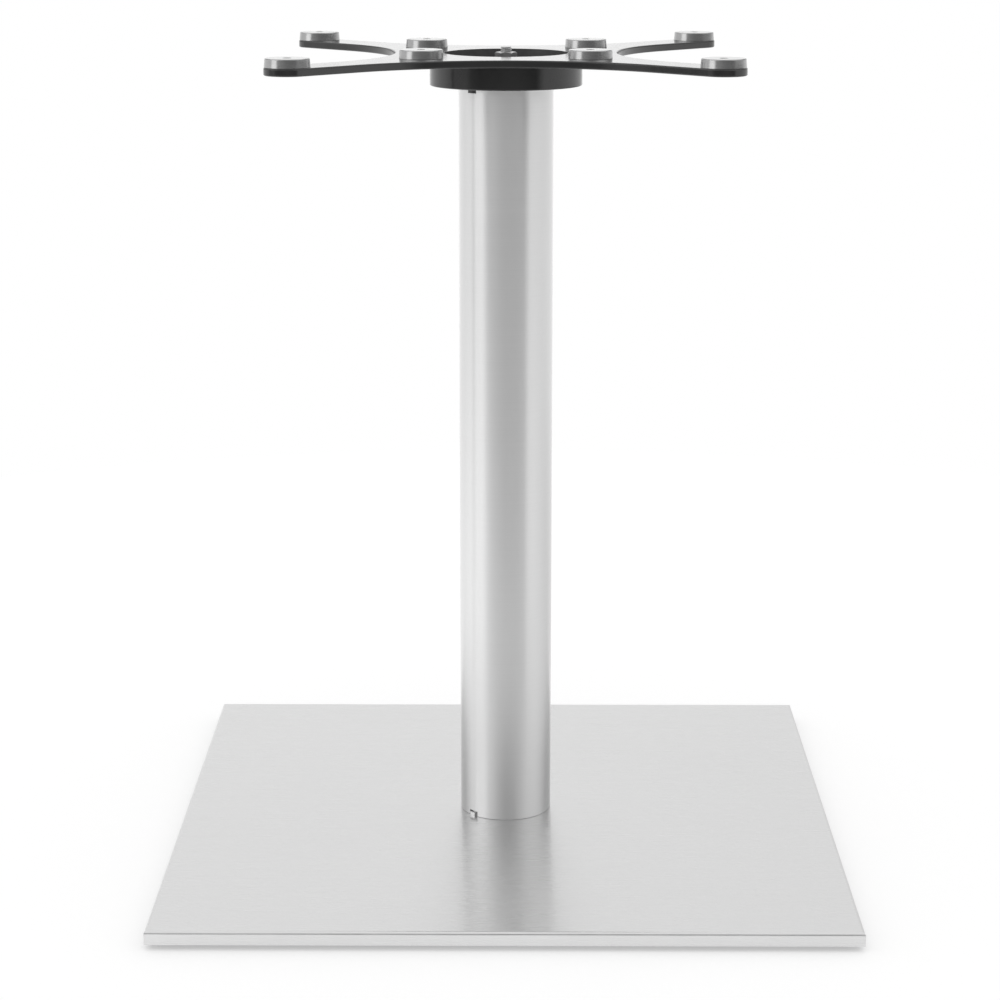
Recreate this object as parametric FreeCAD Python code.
"""Square metal table leg: a folded stainless base, a round column and a cast spider for the table top.

Millimetres, +Z up. The origin is on the floor, under the middle of the base.
The table top rests on the eight round pads of the spider.
"""
import FreeCAD, Part
import math
import os

V = FreeCAD.Vector
UP = V(0, 0, 1)
ORIGIN = V(0, 0, 0)

# Whole leg
leg_height = 725.0              # floor to the face that the table top rests on
floor_gap = 5.0                 # floor to the lower rim of the base, feet screwed in

# Base cover: stainless sheet folded down on four sides, corners mitred, welded and ground sharp
base_width = 600.0
base_height = 12.0
cover_sheet = 1.5
fold_radius = 3.0               # outside radius of the folds

# Weight plate inside the cover
plate_thickness = 8.0
plate_side_gap = 0.5            # plate to the folded sides

# Column tube
column_diameter = 84.0
column_wall = 2.0
notch_width = 10.0              # square notch in the wall at each end
notch_depth = 5.0
notch_angle = 225.0             # both notches lie on this diagonal, from +X, in degrees
tube_end_bevel = 0.5            # on the outside, where the saw's burr was taken off
tube_fit = 0.2                  # radial clearance of what centres the tube
key_fit = 0.1                   # clearance of a lug in its notch and of the key in its slot, on each face

# Base flange that centres the tube's foot
flange_height = 12.0
key_length = 12.0               # radial length of the locating key
key_width = 6.0                 # narrower than the notch: the key bears on the notch's left side
key_height = 3.0
flange_screw_inset = 14.0       # screw to the flange's edge
flange_edge_bevel = 1.0

# Tie rod with its nut and washer
rod_diameter = 10.0
rod_hole_diameter = 11.0
rod_above_nut = 4.7
thread_end_bevel = 0.8          # on the ends of the rod and the studs
rod_foot_gap = 1.0              # rod end to the top of the cover
nut_across_flats = 17.0
nut_height = 8.0
nut_bevel_angle = 30.0          # degrees, on the nut's corners
washer_diameter = 24.0
washer_thickness = 2.0
thread_fit = 0.05               # radial clearance of a thread that is drawn plain

# Flange screws, countersunk, from below
screw_diameter = 6.0
screw_hole_diameter = 6.6
screw_head_diameter = 12.0
screw_length = 17.0
screw_socket_flats = 4.0
screw_socket_depth = 2.2
screw_hole_bottom = 1.0         # free depth past the screw's end

# Spider: one casting
arm_thickness = 6.5
arm_width = 39.0
arm_edge_radius = 1.2
outer_pad_spacing = 354.0       # outer pad to outer pad, along X and along Y
inner_pad_spacing = 144.0
pad_diameter = 38.0
pad_height = 7.5
pad_draft = 5.0                 # degrees, so that the pattern leaves the sand
pad_edge_radius = 0.8
pad_hole_diameter = 7.0         # for the wood screws into the table top
waist_margin = 6.5              # inner pad to the edge of the hub between two arms
collar_diameter = 134.5
collar_height = 21.5            # underside of the arms to the underside of the collar
collar_edge_radius = 1.0
dish_wall = 13.0                # collar's outside to the wall of the hub dish
dish_depth = 9.4                # top of the arms to the floor of the dish
dish_floor = 8.0                # iron under the floor of the dish
spigot_length = 12.5            # ring inside the tube's top end
spigot_wall = 7.8
lug_length = 3.0                # how far the upper lug reaches into the spigot

# Levelling feet
foot_inset = 50.0               # foot to the sides of the base
foot_pad_diameter = 40.0
foot_pad_floor = 2.5            # nylon under the stud's head
foot_pad_gap = 0.3              # pad to plate, screwed in
foot_pad_edge = 1.0
foot_pad_bore_gap = 0.2         # radial, round the stud's neck
stud_diameter = 8.0
stud_head_diameter = 20.0
stud_head_height = 2.5
stud_top_gap = 0.5              # stud's end to the underside of the cover
stud_head_fit = 0.05
stud_socket_flats = 5.0
stud_socket_depth = 2.0
stud_access_diameter = 8.0      # hole in the pad's underside for the key

# Heights that follow
cover_bottom = floor_gap
cover_top = cover_bottom + base_height
plate_top = cover_top - cover_sheet
plate_bottom = plate_top - plate_thickness
pad_top = leg_height
arm_top = pad_top - pad_height
arm_bottom = arm_top - arm_thickness
collar_bottom = arm_bottom - collar_height
dish_bottom = arm_top - dish_depth
core_top = dish_bottom - dish_floor
tube_top = collar_bottom
spigot_bottom = tube_top - spigot_length
washer_top = dish_bottom + washer_thickness
nut_top = washer_top + nut_height
rod_top = nut_top + rod_above_nut
rod_bottom = cover_top + rod_foot_gap

# Radii and places that follow
tube_radius = column_diameter / 2
bore_radius = tube_radius - column_wall
flange_radius = bore_radius - tube_fit
flange_screw_circle = flange_radius - flange_screw_inset
spigot_radius = bore_radius - tube_fit
core_radius = spigot_radius - spigot_wall
collar_radius = collar_diameter / 2
dish_radius = collar_radius - dish_wall
thread_hole_radius = rod_diameter / 2 + thread_fit
key_offset = (notch_width - key_width) / 2 - key_fit
foot_spacing = base_width - 2 * foot_inset

QUARTER_TURNS = [0, 90, 180, 270]
TINY = 1e-6                     # lengths under this count as nothing


def cylinder(radius, bottom, top, x=0.0, y=0.0):
    """Upright round bar between two heights."""
    return Part.makeCylinder(radius, top - bottom, V(x, y, bottom), UP)


def cone(low_radius, high_radius, bottom, top, x=0.0, y=0.0):
    """Upright cone frustum between two heights."""
    return Part.makeCone(low_radius, high_radius, top - bottom, V(x, y, bottom), UP)


def hexagon(across_flats, bottom, top, x=0.0, y=0.0):
    """Upright hexagonal bar between two heights, two flats facing along Y."""
    corner_radius = across_flats / math.sqrt(3)
    turns = [math.radians(60 * i) for i in range(7)]
    corners = [V(x + corner_radius * math.cos(a), y + corner_radius * math.sin(a), bottom) for a in turns]
    return Part.Face(Part.makePolygon(corners)).extrude(V(0, 0, top - bottom))


def turned(shape, degrees):
    """Copy of a shape, turned about the leg's axis."""
    copy = shape.copy()
    copy.rotate(ORIGIN, UP, degrees)
    return copy


def corner_places(spacing):
    """The four corners of a square pattern, anticlockwise from front right."""
    half = spacing / 2
    return [(half, -half), (half, half), (-half, half), (-half, -half)]


def level_edges(shape):
    """The edges that lie flat."""
    return [edge for edge in shape.Edges if edge.BoundBox.ZLength < TINY]


def rim_edges(shape, height):
    """The edges that lie flat at one height."""
    return [edge for edge in level_edges(shape) if abs(edge.BoundBox.ZMin - height) < TINY]


def folded_slab(width, radius, bottom, top):
    """Square slab with a rounded upper rim, mitred at its sharp corners."""
    slab = Part.makeBox(width, width, top - bottom, V(-width / 2, -width / 2, bottom))
    return slab.makeFillet(radius, rim_edges(slab, top))


def radial_block(inner, outer, width, bottom, top, offset=0.0):
    """Block along the notch diagonal, between two distances from the axis, set off to the left."""
    block = Part.makeBox(outer - inner, width, top - bottom, V(inner, -width / 2 - offset, bottom))
    return turned(block, notch_angle)


def flange_screw_places():
    """Screws on the X and Y axes of the flange, clear of the key on the diagonal."""
    turns = [math.radians(a) for a in QUARTER_TURNS]
    return [(flange_screw_circle * math.cos(a), flange_screw_circle * math.sin(a)) for a in turns]


def countersink(x, y):
    """The screw head's cone, from the underside of the plate."""
    head_radius = screw_head_diameter / 2
    shank_radius = screw_diameter / 2
    return cone(head_radius, shank_radius, plate_bottom, plate_bottom + head_radius - shank_radius, x, y)


def base_cover():
    outside = folded_slab(base_width, fold_radius, cover_bottom, cover_top)
    inside = folded_slab(base_width - 2 * cover_sheet, fold_radius - cover_sheet, cover_bottom, plate_top)
    cover = outside.cut(inside)
    holes = [cylinder(screw_hole_diameter / 2, plate_top, cover_top, x, y) for x, y in flange_screw_places()]
    return cover.cut(holes)


def base_plate():
    plate_width = base_width - 2 * (cover_sheet + plate_side_gap)
    plate = folded_slab(plate_width, fold_radius - cover_sheet, plate_bottom, plate_top)
    for x, y in flange_screw_places():
        plate = plate.cut(cylinder(screw_hole_diameter / 2, plate_bottom, plate_top, x, y))
        plate = plate.cut(countersink(x, y))
    for x, y in corner_places(foot_spacing):
        plate = plate.cut(cylinder(stud_diameter / 2 + thread_fit, plate_bottom, plate_top, x, y))
    return plate


def base_flange():
    flange_top = cover_top + flange_height
    flange = cylinder(flange_radius, cover_top, flange_top)
    flange = flange.makeChamfer(flange_edge_bevel, rim_edges(flange, flange_top))
    flange = flange.cut(cylinder(thread_hole_radius, cover_top, flange_top))
    flange = flange.cut(key_block(key_fit))
    hole_top = plate_bottom + screw_length + screw_hole_bottom
    for x, y in flange_screw_places():
        flange = flange.cut(cylinder(screw_diameter / 2 + thread_fit, cover_top, hole_top, x, y))
    return flange


def key_block(gap):
    """The locating key, or its slot when it is given a gap."""
    inner = tube_radius - key_length - gap
    width = key_width + 2 * gap
    return radial_block(inner, tube_radius, width, cover_top, cover_top + key_height + gap, key_offset)


def locating_key():
    return key_block(0.0).common(cylinder(tube_radius - key_fit, cover_top, cover_top + key_height))


def column_tube():
    bar = cylinder(tube_radius, cover_top, tube_top)
    bar = bar.makeChamfer(tube_end_bevel, level_edges(bar))
    tube = bar.cut(cylinder(bore_radius, cover_top, tube_top))
    reach = tube_radius + column_wall
    low_notch = radial_block(bore_radius / 2, reach, notch_width, cover_top, cover_top + notch_depth)
    high_notch = radial_block(bore_radius / 2, reach, notch_width, tube_top - notch_depth, tube_top)
    return tube.cut(low_notch).cut(high_notch)


def tie_rod():
    rod = cylinder(rod_diameter / 2, rod_bottom, rod_top)
    return rod.makeChamfer(thread_end_bevel, level_edges(rod))


def top_washer():
    washer = cylinder(washer_diameter / 2, dish_bottom, washer_top)
    return washer.cut(cylinder(rod_hole_diameter / 2, dish_bottom, washer_top))


def top_nut():
    nut = hexagon(nut_across_flats, washer_top, nut_top)
    corner_radius = nut_across_flats / math.sqrt(3)
    flat_radius = nut_across_flats / 2
    rise = (corner_radius - flat_radius) * math.tan(math.radians(nut_bevel_angle))
    tall = nut_height - rise
    lower = cone(flat_radius, corner_radius, washer_top, washer_top + rise)
    middle = cylinder(corner_radius, washer_top + rise, washer_top + tall)
    upper = cone(corner_radius, flat_radius, washer_top + tall, nut_top)
    nut = nut.common(lower.fuse([middle, upper]).removeSplitter())
    return nut.cut(cylinder(thread_hole_radius, washer_top, nut_top))


def flange_screw(x, y):
    head = countersink(x, y)
    shank = cylinder(screw_diameter / 2, plate_bottom, plate_bottom + screw_length, x, y)
    socket = hexagon(screw_socket_flats, plate_bottom, plate_bottom + screw_socket_depth, x, y)
    return head.fuse(shank).cut(socket).removeSplitter()


def spider_outline():
    """Plan of the arms: four round tips joined by hollow arcs that run tangent into the arms.

    Between two arms the arc's nearest point to the axis lies at the waist distance. An arc
    whose centre is on -Y touches the line half an arm's width from the diagonal, which gives
    its radius.
    """
    half = arm_width / 2
    waist = inner_pad_spacing / 2 + pad_diameter / 2 + waist_margin
    diagonal = math.sqrt(0.5)
    radius = (waist * diagonal - half) / (1 - diagonal)
    centre = waist + radius
    tip = outer_pad_spacing / 2
    bottom_of_arc = V(0, -waist, arm_bottom)
    arc_right = V(radius * diagonal, radius * diagonal - centre, arm_bottom)
    arc_left = V(-arc_right.x, arc_right.y, arm_bottom)
    line_end = V(tip - half * diagonal, -tip - half * diagonal, arm_bottom)
    tip_far = V(tip + half * diagonal, -tip - half * diagonal, arm_bottom)
    tip_back = V(tip + half * diagonal, -tip + half * diagonal, arm_bottom)
    next_arc = V(-arc_left.y, arc_left.x, arm_bottom)
    quarter = [
        Part.Arc(arc_left, bottom_of_arc, arc_right).toShape(),
        Part.LineSegment(arc_right, line_end).toShape(),
        Part.Arc(line_end, tip_far, tip_back).toShape(),
        Part.LineSegment(tip_back, next_arc).toShape(),
    ]
    edges = [turned(edge, turn) for turn in QUARTER_TURNS for edge in quarter]
    return Part.Face(Part.Wire(edges))


def spider_arms():
    arms = spider_outline().extrude(V(0, 0, arm_thickness))
    return arms.makeFillet(arm_edge_radius, level_edges(arms))


def spider_pad(x, y):
    """Round pad that stands on the arm and carries the table top."""
    foot = arm_bottom + arm_thickness / 2
    slope = math.tan(math.radians(pad_draft))
    foot_radius = pad_diameter / 2 + (arm_top - foot) * slope
    pad = cone(foot_radius, foot_radius - (pad_top - foot) * slope, foot, pad_top, x, y)
    return pad.makeFillet(pad_edge_radius, rim_edges(pad, pad_top))


def spider_collar():
    collar = cylinder(collar_radius, collar_bottom, arm_top - arm_thickness / 2)
    return collar.makeFillet(collar_edge_radius, rim_edges(collar, collar_bottom))


def spider_lug():
    """Lug that fills the tube's upper notch and shows below the collar."""
    lug = radial_block(spigot_radius - lug_length, tube_radius, notch_width - 2 * key_fit,
                       tube_top - notch_depth + key_fit, core_top)
    return lug.common(cylinder(tube_radius, spigot_bottom, core_top))


def spider():
    pad_places = corner_places(outer_pad_spacing) + corner_places(inner_pad_spacing)
    casting = spider_arms().fuse([spider_collar()] + [spider_pad(x, y) for x, y in pad_places])
    casting = casting.cut(cylinder(dish_radius, dish_bottom, arm_top))
    casting = casting.fuse([cylinder(spigot_radius, spigot_bottom, core_top), spider_lug()])
    casting = casting.cut(cylinder(core_radius, spigot_bottom, core_top))
    casting = casting.cut(cylinder(rod_hole_diameter / 2, spigot_bottom, dish_bottom))
    holes = [cylinder(pad_hole_diameter / 2, arm_bottom, pad_top, x, y) for x, y in pad_places]
    return casting.cut(holes).removeSplitter()


def foot_pad(x, y):
    """Nylon foot that holds the stud's head and lets it turn."""
    top = plate_bottom - foot_pad_gap
    head_top = foot_pad_floor + stud_head_height
    pad = cylinder(foot_pad_diameter / 2, 0.0, top, x, y)
    pad = pad.makeFillet(foot_pad_edge, level_edges(pad))
    pocket = cylinder(stud_head_diameter / 2 + stud_head_fit, foot_pad_floor - stud_head_fit,
                      head_top + stud_head_fit, x, y)
    neck = cylinder(stud_diameter / 2 + foot_pad_bore_gap, foot_pad_floor, top, x, y)
    access = cylinder(stud_access_diameter / 2, 0.0, foot_pad_floor, x, y)
    return pad.cut([pocket, neck, access])


def foot_stud(x, y):
    """Threaded stud with a round head and a hexagon socket that is reached from below."""
    stud_top = plate_top - stud_top_gap
    head = cylinder(stud_head_diameter / 2, foot_pad_floor, foot_pad_floor + stud_head_height, x, y)
    shank = cylinder(stud_diameter / 2, foot_pad_floor, stud_top, x, y)
    socket = hexagon(stud_socket_flats, foot_pad_floor, foot_pad_floor + stud_socket_depth, x, y)
    stud = head.fuse(shank).cut(socket).removeSplitter()
    return stud.makeChamfer(thread_end_bevel, rim_edges(stud, stud_top))


def save(name, shape):
    """Writes one piece, which has to be one sound solid."""
    if len(shape.Solids) == 1:
        shape = shape.Solids[0]
    shape.exportStep("parts/" + name + ".step")
    print("%-16s %d solid, valid %s, %.1f cm3" % (name, len(shape.Solids), shape.isValid(), shape.Volume / 1000))


def main():
    os.makedirs("parts", exist_ok=True)
    pieces = {
        "base_cover": base_cover(),
        "base_plate": base_plate(),
        "base_flange": base_flange(),
        "locating_key": locating_key(),
        "column_tube": column_tube(),
        "tie_rod": tie_rod(),
        "spider": spider(),
        "top_washer": top_washer(),
        "top_nut": top_nut(),
    }
    for number, (x, y) in enumerate(flange_screw_places(), 1):
        pieces["flange_screw_%d" % number] = flange_screw(x, y)
    for number, (x, y) in enumerate(corner_places(foot_spacing), 1):
        pieces["foot_pad_%d" % number] = foot_pad(x, y)
        pieces["foot_stud_%d" % number] = foot_stud(x, y)
    for name, shape in pieces.items():
        save(name, shape)
    print("rod top %.1f mm, arm top %.1f mm, tube length %.1f mm" % (rod_top, arm_top, tube_top - cover_top))


main()
